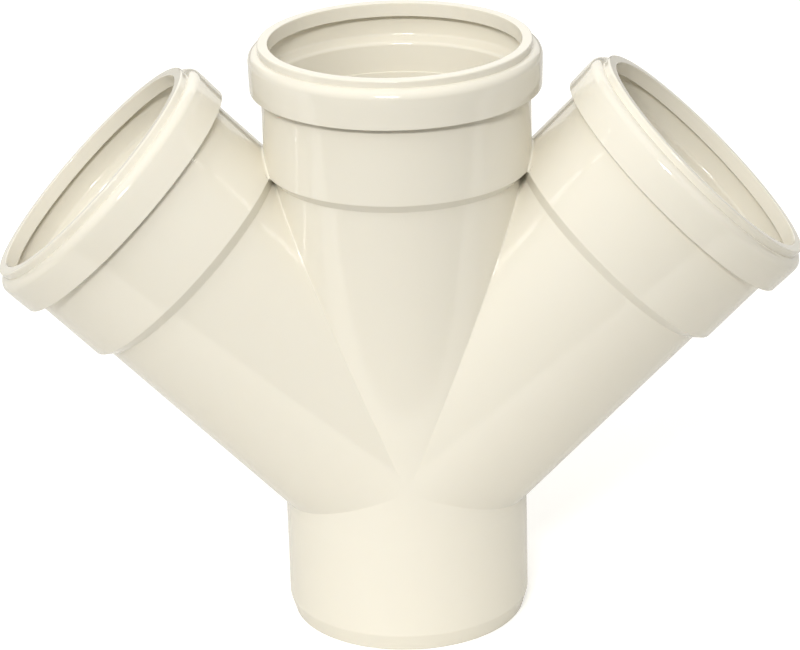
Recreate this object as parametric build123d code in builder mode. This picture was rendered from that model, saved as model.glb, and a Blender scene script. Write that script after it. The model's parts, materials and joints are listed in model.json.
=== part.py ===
from build123d import *
import math
import os

# Double wye drain fitting, moulded in one piece. It stands on the end of its spigot, with +Z up the
# straight run and both branches in the XZ plane. Lengths are in millimetres, angles in degrees.
# A limb's sizes are counted along its axis from the point where the three axes meet.

# Pipe that the fitting joins, and the limbs of the body. Each plain limb reaches past the crotch, by a
# factor of the crotch's distance, and ends inside the barrel of its socket.
pipe_radius = 55.0
spigot_wall = 3.2
body_relief = 0.1
branch_angle = 45.0
crease_radius = 1.2
limb_reach = 1.2

# Spigot, calibrated to the pipe and bevelled to enter the next socket. It runs out into the body, which
# is slimmer outside by the relief, clear below the branches.
spigot_length = 78.2
bevel_length = 7.8
bevel_depth = 2.3
runout_length = 2.4
runout_clearance = 1.1

# Socket, from its sloping stop, just past the crotch of the branches, to its mouth.
stop_clearance = 0.9
socket_length = 59.2
bore_clearance = 0.4
socket_wall = 3.8
entry_clearance = 1.0
entry_length = 32.6

# Groove for the sealing ring, closed by the lip at the mouth.
lip_clearance = 0.5
lip_length = 6.4
groove_width = 10.2
groove_depth = 5.1
groove_lead = 2.4

# Collar round the groove. It tapers down from its shoulder to the barrel.
collar_wall = 3.8
collar_length = 17.3
collar_taper = 0.3
shoulder_bevels = 2

# Lip that stands out of the collar, thinner than the collar and bevelled at its rim.
lip_height = 3.4
lip_wall = 4.7
rim_bevel = 0.5

# Sizes that follow.
inner_radius = pipe_radius - spigot_wall
body_radius = pipe_radius - body_relief
bore_radius = pipe_radius + bore_clearance
entry_radius = pipe_radius + entry_clearance
lip_radius = pipe_radius + lip_clearance
groove_radius = lip_radius + groove_depth
barrel_radius = bore_radius + socket_wall
collar_radius = groove_radius + collar_wall
lip_outer_radius = lip_radius + lip_wall
half_gap = math.radians(branch_angle / 2)
crotch = body_radius / math.tan(half_gap)
crease_foot = spigot_length - body_radius * math.tan(half_gap)
runout_top = crease_foot - runout_clearance
spigot_top = runout_top - runout_length
stop_distance = crotch + stop_clearance
mouth = stop_distance + socket_length
shoulder = mouth - lip_height
collar_foot = shoulder - collar_length
groove_top = mouth - lip_length
groove_bottom = groove_top - groove_width
ledge = mouth - entry_length
shoulder_radius = collar_radius - lip_outer_radius
collar_top = shoulder - shoulder_radius
stop_top = stop_distance + bore_radius - inner_radius
# The step outside follows the stop inside at the spigot's wall, measured square to the 45 degree slope.
step_bottom = stop_distance + body_radius - inner_radius - spigot_wall * math.sqrt(2)
step_top = step_bottom + barrel_radius - body_radius
meeting_point = (0, 0, spigot_length)
limb_angles = (0, branch_angle, -branch_angle)


def limb_axis(angle):
    """Axis of a limb that leans by the angle from +Z towards +X."""
    lean = math.radians(angle)
    return Axis(meeting_point, (math.sin(lean), 0, math.cos(lean)))


def section_plane(angle):
    """Plane of a limb's section: local X is the radius, local Y runs along the limb."""
    lean = math.radians(angle)
    return Plane(meeting_point, x_dir=(math.cos(lean), 0, -math.sin(lean)), z_dir=(0, -1, 0))


def is_crease(edge):
    """Tells whether an edge lies where two limbs meet, in one of the planes between their axes."""
    middle = edge.position_at(0.5) - Vector(meeting_point)
    between_upper = abs(middle.X) * math.cos(half_gap) - middle.Z * math.sin(half_gap)
    between_lower = abs(middle.X) * math.sin(half_gap) + middle.Z * math.cos(half_gap)
    return min(abs(between_upper), abs(between_lower)) < 0.01


def shoulder_corner(share):
    """Corner of the collar's shoulder, on its quarter circle from its face (0) to the foot of the lip (1)."""
    turn = math.radians(90 * share)
    rise = Vector(math.cos(turn), math.sin(turn)) * shoulder_radius
    return (lip_outer_radius + rise.X, collar_top + rise.Y)


with BuildPart() as double_wye_body:
    # Plain outside of the spigot and of each limb, and the rounded creases where they meet.
    with BuildSketch(Plane.XZ):
        with BuildLine():
            Polyline(
                (0, 0),
                (pipe_radius - bevel_depth, 0),
                (pipe_radius, bevel_length),
                (pipe_radius, spigot_top),
                (body_radius, runout_top),
                (body_radius, spigot_length),
                (0, spigot_length),
                close=True,
            )
        make_face()
    revolve(axis=Axis.Z)
    for angle in limb_angles:
        with BuildSketch(section_plane(angle)):
            Rectangle(body_radius, crotch * limb_reach, align=(Align.MIN, Align.MIN))
        revolve(axis=limb_axis(angle))
    fillet(double_wye_body.edges().filter_by(is_crease), radius=crease_radius)

    # Outside of each socket: step, barrel, collar with its bevelled shoulder, and lip.
    for angle in limb_angles:
        with BuildSketch(section_plane(angle)):
            with BuildLine():
                Polyline(
                    (0, step_bottom),
                    (body_radius, step_bottom),
                    (barrel_radius, step_top),
                    (barrel_radius, collar_foot),
                    (collar_radius - collar_taper, collar_foot),
                    *(shoulder_corner(i / shoulder_bevels) for i in range(shoulder_bevels + 1)),
                    (lip_outer_radius, mouth - rim_bevel),
                    (lip_outer_radius - rim_bevel, mouth),
                    (0, mouth),
                    close=True,
                )
            make_face()
        revolve(axis=limb_axis(angle))

    # Way through each limb: body bore, stop, socket bore with its small ledge, groove and lip.
    for angle in limb_angles:
        with BuildSketch(section_plane(angle)):
            with BuildLine():
                Polyline(
                    (0, 0),
                    (inner_radius, 0),
                    (inner_radius, stop_distance),
                    (bore_radius, stop_top),
                    (bore_radius, ledge),
                    (entry_radius, ledge),
                    (entry_radius, groove_bottom - groove_lead),
                    (groove_radius, groove_bottom),
                    (groove_radius, groove_top),
                    (lip_radius, groove_top),
                    (lip_radius, mouth),
                    (0, mouth),
                    close=True,
                )
            make_face()
        revolve(axis=limb_axis(angle), mode=Mode.SUBTRACT)
    with BuildSketch(Plane.XY):
        Circle(inner_radius)
    extrude(amount=spigot_length, mode=Mode.SUBTRACT)

double_wye_body.part.label = "double_wye_body"
os.makedirs("parts", exist_ok=True)
export_step(double_wye_body.part, "parts/double_wye_body.step")
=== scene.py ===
import json
import logging
import math
from dataclasses import dataclass, field
from enum import Enum

import bmesh
import bpy
from mathutils import Matrix, Vector

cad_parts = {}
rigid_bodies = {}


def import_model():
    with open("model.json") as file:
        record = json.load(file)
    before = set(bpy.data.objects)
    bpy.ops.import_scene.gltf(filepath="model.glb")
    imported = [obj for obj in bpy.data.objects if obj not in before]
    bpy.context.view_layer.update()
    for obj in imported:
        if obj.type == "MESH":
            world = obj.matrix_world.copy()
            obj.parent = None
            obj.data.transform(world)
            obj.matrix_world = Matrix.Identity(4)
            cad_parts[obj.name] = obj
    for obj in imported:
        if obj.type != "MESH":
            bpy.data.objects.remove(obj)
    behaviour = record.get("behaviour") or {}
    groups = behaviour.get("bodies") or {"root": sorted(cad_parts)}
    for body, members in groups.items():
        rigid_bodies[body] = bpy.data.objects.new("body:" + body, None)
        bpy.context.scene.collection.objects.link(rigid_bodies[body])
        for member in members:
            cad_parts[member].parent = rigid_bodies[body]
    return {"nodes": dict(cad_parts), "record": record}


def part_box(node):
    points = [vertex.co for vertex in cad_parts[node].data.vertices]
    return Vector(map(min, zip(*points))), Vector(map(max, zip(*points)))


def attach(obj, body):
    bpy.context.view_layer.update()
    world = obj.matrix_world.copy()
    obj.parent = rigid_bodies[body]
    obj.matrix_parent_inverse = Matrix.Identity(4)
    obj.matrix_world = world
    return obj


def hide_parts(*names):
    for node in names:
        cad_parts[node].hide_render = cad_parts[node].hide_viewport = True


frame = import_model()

LOG = logging.getLogger("double_wye")
MILLIMETRE = 0.001

Colour = tuple[float, float, float]
WHITE: Colour = (1.0, 1.0, 1.0)


def towards(azimuth: float, elevation: float) -> Vector:
    """Finds a direction from the object.

    Args:
        azimuth: Turn from the front towards +X, in degrees.
        elevation: Rise above the table, in degrees.

    Returns:
        The direction, of length one.
    """
    turn, rise = math.radians(azimuth), math.radians(elevation)
    return Vector((math.sin(turn) * math.cos(rise), -math.cos(turn) * math.cos(rise), math.sin(rise)))


class Limb(Enum):
    """Limbs of the fitting, by the lean of each axis from +Z towards +X in degrees."""

    RUN = 0.0
    RIGHT = 45.0
    LEFT = -45.0
    SPIGOT = 180.0


@dataclass(frozen=True)
class Crease:
    """Plane through the meeting point in which two neighbouring limbs join, the second leaning more."""

    first: Limb
    second: Limb

    @property
    def normal(self) -> Vector:
        """Direction square to the plane, towards the second limb."""
        gap = (self.second.value - self.first.value) % 360.0
        lean = math.radians(self.first.value + gap / 2)
        return Vector((math.cos(lean), 0.0, -math.sin(lean)))


CREASES = (
    Crease(Limb.RUN, Limb.RIGHT),
    Crease(Limb.RIGHT, Limb.SPIGOT),
    Crease(Limb.SPIGOT, Limb.LEFT),
    Crease(Limb.LEFT, Limb.RUN),
)


@dataclass(frozen=True)
class Fitting:
    """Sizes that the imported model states, in millimetres."""

    meeting_height: float
    pipe_radius: float
    bore_radius: float
    mouth: float
    branch_lean: float
    body_relief: float = 0.1

    @classmethod
    def from_record(cls, record: dict, node: str) -> "Fitting":
        """Reads the sizes from the record's mounts and the node's box.

        Args:
            record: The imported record.
            node: Name of the CAD node.

        Returns:
            The sizes in millimetres, with the lean of the branches in degrees.
        """
        mounts = {mount["name"]: mount for mount in record["mounts"]}
        place = mounts["right_socket"]["pos_m"]
        axis = mounts["right_socket"]["axis"]
        height = place[2] - place[0] * axis[2] / axis[0]
        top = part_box(node)[1].z
        return cls(
            meeting_height=height / MILLIMETRE,
            pipe_radius=mounts["spigot"]["dims"]["r_mm"],
            bore_radius=mounts["run_socket"]["dims"]["r_mm"],
            mouth=(top - height) / MILLIMETRE,
            branch_lean=math.degrees(math.atan2(axis[0], axis[2])),
        )

    @property
    def body_radius(self) -> float:
        """Outside radius of the limbs, a little less than the pipe's."""
        return self.pipe_radius - self.body_relief

    @property
    def half_gap(self) -> float:
        """Half the angle between the run and a branch, in radians."""
        return math.radians(self.branch_lean / 2)

    @property
    def meeting_point(self) -> Vector:
        """Point where the axes of the limbs meet."""
        return Vector((0.0, 0.0, self.meeting_height))

    def placed(self, limb: Limb) -> Matrix:
        """Transform from a limb's own frame, with its axis along Z, to the fitting's."""
        return Matrix.Translation(self.meeting_point) @ Matrix.Rotation(math.radians(limb.value), 4, "Y")


@dataclass(frozen=True)
class Corner:
    """Corner of an outline that is turned about a limb's axis.

    A corner with a rounding is rounded to that distance along its two sides. A crisp one keeps a sharp
    edge in the shading.
    """

    radius: float
    height: float
    rounding: float = 0.0
    segments: int = 3
    crisp: bool = False


@dataclass
class TurnedShell:
    """Shell turned about a limb's axis and cut off at the planes where it meets its neighbours."""

    fitting: Fitting
    limb: Limb
    steps: int = 192
    slack: float = 0.002
    spigot_wall: float = 3.2
    start: float = -2.0

    def outline(self) -> list[Corner]:
        """Corners of the section, from the outside to the inside."""
        raise NotImplementedError

    def draw_outline(self, bm: bmesh.types.BMesh) -> None:
        """Draws the outline as a wire in the XZ plane and rounds its corners.

        Args:
            bm: Empty mesh that takes the wire.
        """
        mark = bm.verts.layers.int.new("crisp")
        corners = self.outline()
        points = [bm.verts.new((corner.radius, 0.0, corner.height)) for corner in corners]
        for first, second in zip(points, points[1:]):
            bm.edges.new((first, second))
        for number, (corner, point) in enumerate(zip(corners, points), start=1):
            if corner.crisp:
                point[mark] = number
        for corner, point in zip(corners, points):
            if corner.rounding:
                bmesh.ops.bevel(bm, geom=[point], offset=corner.rounding, offset_type="OFFSET",
                                segments=corner.segments, profile=0.5, affect="VERTICES", material=-1)

    def turn(self, bm: bmesh.types.BMesh) -> None:
        """Turns the wire into a shell, marks its crisp rings and puts it in its place.

        Args:
            bm: Mesh that holds the wire.
        """
        bmesh.ops.spin(bm, geom=[*bm.verts, *bm.edges], cent=(0, 0, 0), axis=(0, 0, 1), dvec=(0, 0, 0),
                       angle=math.tau, steps=self.steps, use_merge=True, use_duplicate=False)
        mark = bm.verts.layers.int["crisp"]
        for edge in bm.edges:
            first, second = (vert[mark] for vert in edge.verts)
            edge.smooth = not (first and first == second)
        bm.verts.layers.int.remove(mark)
        bmesh.ops.transform(bm, matrix=self.fitting.placed(self.limb), verts=bm.verts)

    def cut_off(self, bm: bmesh.types.BMesh) -> None:
        """Cuts the shell off at the creases that it shares with its neighbours.

        Args:
            bm: Mesh that holds the shell in its place.
        """
        for crease in CREASES:
            if self.limb in (crease.first, crease.second):
                outwards = crease.normal if self.limb is crease.first else -crease.normal
                bmesh.ops.bisect_plane(bm, geom=[*bm.verts, *bm.edges, *bm.faces], dist=self.slack,
                                       plane_co=self.fitting.meeting_point, plane_no=outwards,
                                       clear_outer=True)

    def shell(self) -> bpy.types.Mesh:
        """Builds the limb's share of the body.

        Returns:
            A mesh in millimetres, in the fitting's frame.
        """
        bm = bmesh.new()
        self.draw_outline(bm)
        self.turn(bm)
        self.cut_off(bm)
        mesh = bpy.data.meshes.new(self.limb.name.lower())
        bm.to_mesh(mesh)
        bm.free()
        return mesh


@dataclass
class SocketLimb(TurnedShell):
    """Limb with a push-fit socket: step, barrel, collar, lip, groove, bore and stop."""

    stop_clearance: float = 0.9
    stop_round: float = 0.8
    bore_round: float = 0.6
    socket_wall: float = 3.8
    step_round: float = 0.35
    entry_clearance: float = 0.6
    entry_length: float = 32.6
    ledge_round: float = 0.15
    groove_width: float = 10.2
    groove_depth: float = 5.1
    groove_top_round: float = 1.2
    groove_bottom_round: float = 1.0
    groove_lead: float = 2.4
    lead_round: float = 1.2
    collar_wall: float = 3.8
    collar_length: float = 17.3
    collar_taper: float = 0.3
    collar_land: float = 3.1
    collar_foot_round: float = 0.2
    shoulder_gap: float = 0.05
    lip_clearance: float = 0.1
    lip_length: float = 6.4
    lip_height: float = 3.4
    lip_wall: float = 4.7
    lip_foot_round: float = 0.2
    rim_round: float = 0.9
    inner_rim_round: float = 0.5

    def outline(self) -> list[Corner]:
        """Section of the limb, up its outside and down its inside."""
        fit = self.fitting
        inner = fit.pipe_radius - self.spigot_wall
        body = fit.body_radius
        bore = fit.bore_radius
        entry = bore + self.entry_clearance
        lip = bore + self.lip_clearance
        groove = lip + self.groove_depth
        barrel = bore + self.socket_wall
        collar = groove + self.collar_wall
        lip_outside = lip + self.lip_wall
        stop = body / math.tan(fit.half_gap) + self.stop_clearance
        stop_top = stop + bore - inner
        step_bottom = stop + body - inner - self.spigot_wall * math.sqrt(2)
        step_top = step_bottom + barrel - body
        shoulder = fit.mouth - self.lip_height
        collar_foot = shoulder - self.collar_length
        shoulder_round = collar - lip_outside
        land = shoulder - shoulder_round - self.collar_land
        groove_top = fit.mouth - self.lip_length
        groove_bottom = groove_top - self.groove_width
        ledge = fit.mouth - self.entry_length
        return [
            Corner(body, self.start),
            Corner(body, step_bottom, rounding=self.step_round),
            Corner(barrel, step_top, rounding=self.step_round),
            Corner(barrel, collar_foot, crisp=True),
            Corner(collar - self.collar_taper, collar_foot, rounding=self.collar_foot_round, segments=2),
            Corner(collar, land, crisp=True),
            Corner(collar, shoulder, rounding=shoulder_round - self.shoulder_gap, segments=12),
            Corner(lip_outside, shoulder, crisp=True),
            Corner(lip_outside, fit.mouth, rounding=self.rim_round, segments=6),
            Corner(lip, fit.mouth, rounding=self.inner_rim_round, segments=4),
            Corner(lip, groove_top, rounding=self.lip_foot_round, segments=2),
            Corner(groove, groove_top, rounding=self.groove_top_round, segments=5),
            Corner(groove, groove_bottom, rounding=self.groove_bottom_round, segments=5),
            Corner(entry, groove_bottom - self.groove_lead, rounding=self.lead_round, segments=5),
            Corner(entry, ledge, crisp=True),
            Corner(bore, ledge, rounding=self.ledge_round, segments=2),
            Corner(bore, stop_top, rounding=self.bore_round, segments=4),
            Corner(inner, stop, rounding=self.stop_round, segments=4),
            Corner(inner, self.start),
        ]


@dataclass
class SpigotLimb(TurnedShell):
    """Plain end, bevelled to enter the next socket."""

    runout_clearance: float = 1.1
    runout_length: float = 2.4
    runout_round: float = 1.1
    bevel_length: float = 7.8
    bevel_depth: float = 2.3
    bevel_round: float = 0.6
    end_round: float = 0.25
    inner_end_round: float = 0.2

    def outline(self) -> list[Corner]:
        """Section of the limb, up its outside, across its end and back along its inside."""
        body, pipe = self.fitting.body_radius, self.fitting.pipe_radius
        end = self.fitting.meeting_height
        inner = pipe - self.spigot_wall
        runout = body * math.tan(self.fitting.half_gap) + self.runout_clearance
        return [
            Corner(body, self.start),
            Corner(body, runout, rounding=self.runout_round),
            Corner(pipe, runout + self.runout_length, rounding=self.runout_round),
            Corner(pipe, end - self.bevel_length, rounding=self.bevel_round),
            Corner(pipe - self.bevel_depth, end, rounding=self.end_round, segments=2),
            Corner(inner, end, rounding=self.inner_end_round, segments=2),
            Corner(inner, self.start),
        ]


@dataclass
class Body:
    """Whole moulding: three socket limbs and a spigot, joined along rounded creases.

    Lengths are in millimetres. Creases that would need less than the least share of the widest rounding
    stay sharp, and so do inner ones that turn by the crisp angle or more.
    """

    fitting: Fitting
    node: str
    slot: str
    crease_radius: float = 0.65
    barrel_crease_radius: float = 0.9
    crease_segments: int = 6
    crease_line: float = 1.2
    weld: float = 0.01
    slack: float = 0.002
    run_clearance: float = 0.05
    least_share: float = 0.02
    crisp_angle: float = 15.0

    def limbs(self) -> list[TurnedShell]:
        """Shells of the limbs."""
        sockets = [SocketLimb(self.fitting, limb) for limb in (Limb.RUN, Limb.RIGHT, Limb.LEFT)]
        return [*sockets, SpigotLimb(self.fitting, Limb.SPIGOT)]

    @staticmethod
    def put_in_order(bm: bmesh.types.BMesh) -> None:
        """Orders points, edges and faces by their places, so that every run gives the same mesh.

        Args:
            bm: Mesh to put in order.
        """
        def ends(element: bmesh.types.BMEdge | bmesh.types.BMFace) -> list[int]:
            """Numbers of the element's points."""
            return sorted(vert.index for vert in element.verts)

        for elements, place in ((bm.verts, lambda vert: tuple(vert.co)), (bm.edges, ends), (bm.faces, ends)):
            for number, element in enumerate(sorted(elements, key=place)):
                element.index = number
            elements.sort()

    def joined(self) -> bmesh.types.BMesh:
        """Joins the shells into one closed surface.

        Returns:
            The body as a mesh in millimetres.
        """
        bm = bmesh.new()
        for limb in self.limbs():
            mesh = limb.shell()
            bm.from_mesh(mesh)
            bpy.data.meshes.remove(mesh)
        self.put_in_order(bm)
        bmesh.ops.remove_doubles(bm, verts=bm.verts, dist=self.weld)
        bmesh.ops.recalc_face_normals(bm, faces=bm.faces)
        open_edges = sum(not edge.is_manifold for edge in bm.edges)
        LOG.info("shell: %d faces, %d open edges", len(bm.faces), open_edges)
        return bm

    def limb_at(self, point: Vector) -> Limb:
        """Limb whose share of the body holds the point."""
        lean = math.degrees(math.atan2(point.x, point.z - self.fitting.meeting_height))
        return min(Limb, key=lambda limb: abs((lean - limb.value + 180.0) % 360.0 - 180.0))

    def line_creases(self, bm: bmesh.types.BMesh) -> None:
        """Adds a line of points along both sides of each crease, which keeps the shading beside it clean.

        Args:
            bm: The joined body.
        """
        for crease in CREASES:
            for offset in (self.crease_line, -self.crease_line):
                beside = [face for face in bm.faces
                          if self.limb_at(face.calc_center_median()) in (crease.first, crease.second)]
                edges = dict.fromkeys(edge for face in beside for edge in face.edges)
                verts = dict.fromkeys(vert for face in beside for vert in face.verts)
                bmesh.ops.bisect_plane(bm, geom=[*verts, *edges, *beside], dist=self.slack,
                                       plane_co=self.fitting.meeting_point + offset * crease.normal,
                                       plane_no=crease.normal)

    def widest_round(self) -> float:
        """Distance from the sharpest crease to the edge of its rounding."""
        return self.crease_radius / math.tan(self.fitting.half_gap)

    def on_barrel(self, *points: Vector) -> bool:
        """Tells whether any of the points, counted from the meeting point, lies outside the plain run."""
        plain = self.fitting.body_radius + self.run_clearance
        return any(point.z > 0 and math.hypot(point.x, point.y) > plain for point in points)

    def weigh_creases(self, bm: bmesh.types.BMesh) -> None:
        """Gives each outer crease edge its share of the rounding, and marks the inner ones as crisp.

        Args:
            bm: The joined body.
        """
        weight = bm.edges.layers.float.new("bevel_weight_edge")
        planes = [crease.normal for crease in CREASES]
        centre = self.fitting.meeting_point
        for edge in bm.edges:
            ends = [vert.co - centre for vert in edge.verts]
            if not any(all(abs(end.dot(plane)) < self.weld for end in ends) for plane in planes):
                continue
            if len(edge.link_faces) != 2:
                continue
            turn = edge.calc_face_angle_signed()
            if turn < 0:
                radius = self.barrel_crease_radius if self.on_barrel(*ends) else self.crease_radius
                share = min(1.0, math.tan(-turn / 2) * radius / self.widest_round())
                edge[weight] = share if share > self.least_share else 0.0
            else:
                edge.smooth = turn < math.radians(self.crisp_angle)

    def finish(self, body: bpy.types.Object) -> None:
        """Rounds the creases and evens out the shading.

        Args:
            body: Object that holds the weighed mesh.
        """
        rounding = body.modifiers.new("creases", "BEVEL")
        rounding.limit_method = "WEIGHT"
        rounding.offset_type = "OFFSET"
        rounding.width = self.widest_round() * MILLIMETRE
        rounding.segments = self.crease_segments
        rounding.profile = 0.5
        rounding.use_clamp_overlap = False
        shading = body.modifiers.new("shading", "WEIGHTED_NORMAL")
        shading.mode = "FACE_AREA"
        shading.keep_sharp = True

    def build(self) -> bpy.types.Object:
        """Builds the body and lets it stand for its CAD node.

        Returns:
            The finished object.
        """
        bm = self.joined()
        self.line_creases(bm)
        self.put_in_order(bm)
        self.weigh_creases(bm)
        for face in bm.faces:
            face.smooth = True
        bmesh.ops.scale(bm, vec=(MILLIMETRE,) * 3, verts=bm.verts)
        mesh = bpy.data.meshes.new("fitting_body")
        bm.to_mesh(mesh)
        bm.free()
        body = bpy.data.objects.new("fitting_body", mesh)
        bpy.context.scene.collection.objects.link(body)
        self.finish(body)
        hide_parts(self.node)
        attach(body, "root")
        return body


@dataclass(frozen=True)
class NodeWork:
    """Steps that add nodes to the tree of a material or of the world."""

    tree: bpy.types.NodeTree

    def add(self, kind: str) -> bpy.types.Node:
        """Adds a node of the kind."""
        return self.tree.nodes.new(kind)

    def link(self, source: bpy.types.NodeSocket, target: bpy.types.NodeSocket) -> None:
        """Links an output to an input."""
        self.tree.links.new(source, target)

    def blend(self, share: bpy.types.NodeSocket, first: Colour, second: Colour) -> bpy.types.NodeSocket:
        """Adds a blend of two colours.

        Args:
            share: Share of the second colour, from 0 to 1.
            first: Colour at a share of 0.
            second: Colour at a share of 1.

        Returns:
            The blended colour.
        """
        made = self.add("ShaderNodeMix")
        made.data_type = "RGBA"
        sockets = {socket.identifier: socket for socket in (*made.inputs, *made.outputs)}
        sockets["A_Color"].default_value = (*first, 1.0)
        sockets["B_Color"].default_value = (*second, 1.0)
        self.link(share, sockets["Factor_Float"])
        return sockets["Result_Color"]

    def noise(self, place: bpy.types.NodeSocket, scale: float, detail: float) -> bpy.types.NodeSocket:
        """Adds a noise texture.

        Args:
            place: Coordinates that the noise reads.
            scale: Noise cells per metre.
            detail: Number of finer layers.

        Returns:
            The noise's value, from 0 to 1.
        """
        made = self.add("ShaderNodeTexNoise")
        made.inputs["Scale"].default_value = scale
        made.inputs["Detail"].default_value = detail
        self.link(place, made.inputs["Vector"])
        return made.outputs["Fac"]

    def bump(self, height: bpy.types.NodeSocket, depth: float) -> bpy.types.Node:
        """Adds a bump.

        Args:
            height: Height map, from 0 to 1.
            depth: Height of the bump in metres.

        Returns:
            The bump node.
        """
        made = self.add("ShaderNodeBump")
        made.inputs["Distance"].default_value = depth
        self.link(height, made.inputs["Height"])
        return made


@dataclass(frozen=True)
class MouldedPlastic:
    """Glossy cream plastic straight from the mould. The scales of its patterns are in cells per metre."""

    colour: Colour = (0.805, 0.77, 0.675)
    warm_colour: Colour = (0.795, 0.756, 0.655)
    cloud_scale: float = 22.0
    refraction: float = 1.55
    depth_share: float = 0.06
    depth_colour: Colour = (1.0, 0.8, 0.5)
    depth: float = 0.002
    roughness: tuple[float, float] = (0.06, 0.09)
    smear_scale: float = 90.0
    smear_range: tuple[float, float] = (0.3, 0.7)
    waviness: float = 0.00002
    wave_scale: float = 45.0
    grain: float = 0.000004
    grain_scale: float = 1400.0

    def material(self) -> bpy.types.Material:
        """Builds the material.

        Returns:
            A node material that reads Object coordinates.
        """
        made = bpy.data.materials.new("moulded_plastic")
        made.use_nodes = True
        work = NodeWork(made.node_tree)
        shader = made.node_tree.nodes["Principled BSDF"]
        shader.inputs["IOR"].default_value = self.refraction
        shader.inputs["Subsurface Weight"].default_value = self.depth_share
        shader.inputs["Subsurface Radius"].default_value = self.depth_colour
        shader.inputs["Subsurface Scale"].default_value = self.depth
        place = work.add("ShaderNodeTexCoord").outputs["Object"]

        clouds = work.noise(place, scale=self.cloud_scale, detail=3.0)
        work.link(work.blend(clouds, self.colour, self.warm_colour), shader.inputs["Base Color"])

        polish = work.add("ShaderNodeMapRange")
        polish.inputs["From Min"].default_value, polish.inputs["From Max"].default_value = self.smear_range
        polish.inputs["To Min"].default_value, polish.inputs["To Max"].default_value = self.roughness
        work.link(work.noise(place, scale=self.smear_scale, detail=4.0), polish.inputs["Value"])
        work.link(polish.outputs["Result"], shader.inputs["Roughness"])

        waves = work.bump(work.noise(place, scale=self.wave_scale, detail=1.0), self.waviness)
        grain = work.bump(work.noise(place, scale=self.grain_scale, detail=2.0), self.grain)
        work.link(waves.outputs["Normal"], grain.inputs["Normal"])
        work.link(grain.outputs["Normal"], shader.inputs["Normal"])
        return made


@dataclass(frozen=True)
class Panel:
    """Flat lamp that faces a point.

    Its size, its distance and the point are in metres, its angles in degrees, and its brightness is a
    multiple of white. A lamp that isn't mirrored lights the fitting without a reflection in its gloss.
    """

    name: str
    azimuth: float
    elevation: float
    distance: float
    size: tuple[float, float]
    brightness: float
    target: tuple[float, float, float] = (0.0, 0.0, 0.15)
    tint: Colour = (1.0, 0.992, 0.965)
    mirrored: bool = True

    def build(self) -> None:
        """Adds the lamp, turned towards its point."""
        lamp = bpy.data.lights.new(self.name, "AREA")
        lamp.shape = "RECTANGLE"
        lamp.size, lamp.size_y = self.size
        lamp.color = self.tint
        lamp.energy = self.brightness * math.pi * lamp.size * lamp.size_y
        back = towards(self.azimuth, self.elevation)
        holder = bpy.data.objects.new(self.name, lamp)
        holder.rotation_mode = "QUATERNION"
        holder.rotation_quaternion = back.to_track_quat("Z", "Y")
        holder.location = Vector(self.target) + back * self.distance
        holder.visible_glossy = self.mirrored
        bpy.context.scene.collection.objects.link(holder)


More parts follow.
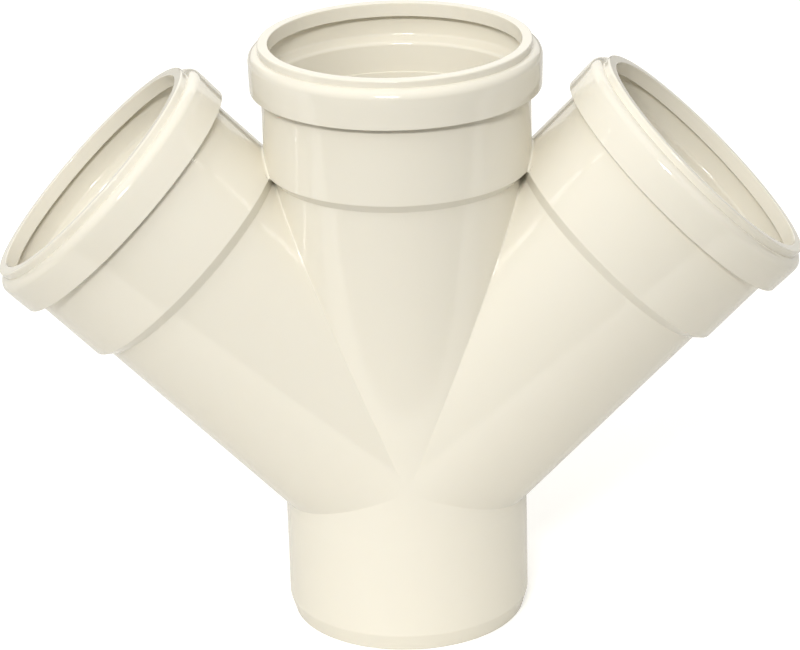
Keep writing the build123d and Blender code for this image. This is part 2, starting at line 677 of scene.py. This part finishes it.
@dataclass
class Studio:
    """White table in softly lit surroundings, with the lamps that light the fitting and glint in its gloss.

    Lengths are in metres, and the table reaches from its front to its back along Y.
    """

    table_front: float = -0.32
    table_back: float = 6.0
    table_half_width: float = 4.0
    table_level: float = -0.0001
    table_white: float = 0.4
    table_colour: Colour = (0.82, 0.81, 0.785)
    table_roughness: float = 0.9
    sky_colour: Colour = (1.0, 0.99, 0.96)
    horizon: float = 0.12
    zenith: float = 0.99
    lamps: list[Panel] = field(default_factory=lambda: [
        Panel("key", azimuth=-8.0, elevation=33.0, distance=2.0, size=(0.49, 0.17), brightness=82.5),
        Panel("fill", azimuth=-50.0, elevation=42.0, distance=1.8, size=(0.9, 0.9), brightness=2.4,
              mirrored=False),
        Panel("backdrop", azimuth=180.0, elevation=24.0, distance=3.0, size=(3.6, 2.0), brightness=0.9),
    ])

    def table(self) -> None:
        """Lays the table, which looks white to the camera except in the object's shadow."""
        bm = bmesh.new()
        bmesh.ops.create_grid(bm, x_segments=1, y_segments=1, size=0.5)
        bmesh.ops.scale(bm, verts=bm.verts,
                        vec=(2 * self.table_half_width, self.table_back - self.table_front, 1.0))
        bmesh.ops.translate(bm, verts=bm.verts,
                            vec=(0.0, (self.table_back + self.table_front) / 2, self.table_level))
        mesh = bpy.data.meshes.new("table")
        bm.to_mesh(mesh)
        bm.free()
        plane = bpy.data.objects.new("table", mesh)
        bpy.context.scene.collection.objects.link(plane)
        mesh.materials.append(self.table_material())

    def table_material(self) -> bpy.types.Material:
        """Builds the table's material.

        Returns:
            A matt white that is brightened for the camera alone.
        """
        made = bpy.data.materials.new("white_table")
        made.use_nodes = True
        work = NodeWork(made.node_tree)
        shader = made.node_tree.nodes["Principled BSDF"]
        shader.inputs["Base Color"].default_value = (*self.table_colour, 1.0)
        shader.inputs["Roughness"].default_value = self.table_roughness
        shader.inputs["Specular IOR Level"].default_value = 0.0
        shader.inputs["Emission Color"].default_value = (*WHITE, 1.0)
        brightening = work.add("ShaderNodeMath")
        brightening.operation = "MULTIPLY"
        brightening.inputs[1].default_value = self.table_white
        work.link(work.add("ShaderNodeLightPath").outputs["Is Camera Ray"], brightening.inputs[0])
        work.link(brightening.outputs["Value"], shader.inputs["Emission Strength"])
        return made

    def surroundings(self) -> None:
        """Fills the world with light that grows towards the zenith, and is full white for the camera."""
        world = bpy.data.worlds.new("studio")
        world.use_nodes = True
        work = NodeWork(world.node_tree)
        background = world.node_tree.nodes["Background"]
        seen = work.add("ShaderNodeLightPath").outputs["Is Camera Ray"]
        work.link(work.blend(seen, self.sky_colour, WHITE), background.inputs["Color"])
        heading = work.add("ShaderNodeSeparateXYZ")
        work.link(work.add("ShaderNodeTexCoord").outputs["Generated"], heading.inputs["Vector"])
        sky = work.add("ShaderNodeMapRange")
        sky.inputs["To Min"].default_value = self.horizon
        sky.inputs["To Max"].default_value = self.zenith
        work.link(heading.outputs["Z"], sky.inputs["Value"])
        level = work.add("ShaderNodeMapRange")
        level.inputs["To Max"].default_value = 1.0
        work.link(seen, level.inputs["Value"])
        work.link(sky.outputs["Result"], level.inputs["To Min"])
        work.link(level.outputs["Result"], background.inputs["Strength"])
        bpy.context.scene.world = world

    def build(self) -> None:
        """Sets up the table, the surroundings and the lamps."""
        self.table()
        self.surroundings()
        for lamp in self.lamps:
            lamp.build()
        bpy.context.scene.view_settings.view_transform = "Standard"


@dataclass(frozen=True)
class Viewpoint:
    """Camera at the photograph's angle, in degrees and metres, with its lens and sensor in millimetres."""

    azimuth: float = -0.217
    elevation: float = 21.833
    roll: float = -1.543
    distance: float = 1.51432
    target: tuple[float, float, float] = (-0.00101, 0.0, 0.13662)
    lens: float = 151.415
    sensor: float = 36.0
    clip: tuple[float, float] = (0.05, 50.0)

    def build(self) -> None:
        """Adds the camera and makes it the scene's."""
        back = towards(self.azimuth, self.elevation)
        roll = math.radians(self.roll)
        right = (-back).cross(Vector((0.0, 0.0, 1.0))).normalized()
        above = right.cross(-back)
        side = math.cos(roll) * right + math.sin(roll) * above
        top = -math.sin(roll) * right + math.cos(roll) * above
        camera = bpy.data.cameras.new("camera")
        camera.lens = self.lens
        camera.sensor_width = self.sensor
        camera.clip_start, camera.clip_end = self.clip
        holder = bpy.data.objects.new("camera", camera)
        turned = Matrix((side, top, back)).transposed().to_4x4()
        holder.matrix_world = Matrix.Translation(Vector(self.target) + back * self.distance) @ turned
        bpy.context.scene.collection.objects.link(holder)
        bpy.context.scene.camera = holder


def main() -> None:
    """Builds the studio and the fitting, and notes the sizes of both models."""
    logging.basicConfig(level=logging.INFO, format="%(name)s: %(message)s")
    node, = frame["nodes"]
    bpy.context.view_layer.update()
    Viewpoint().build()
    Studio().build()
    fitting = Fitting.from_record(frame["record"], node)
    LOG.info("sizes from the record: %s", fitting)
    body = Body(fitting, node=node, slot=frame["record"]["materials"][0]["slot"]).build()
    body.data.materials.append(MouldedPlastic().material())
    LOG.info("body: %d faces before its modifiers", len(body.data.polygons))


if __name__ == "__main__":
    main()
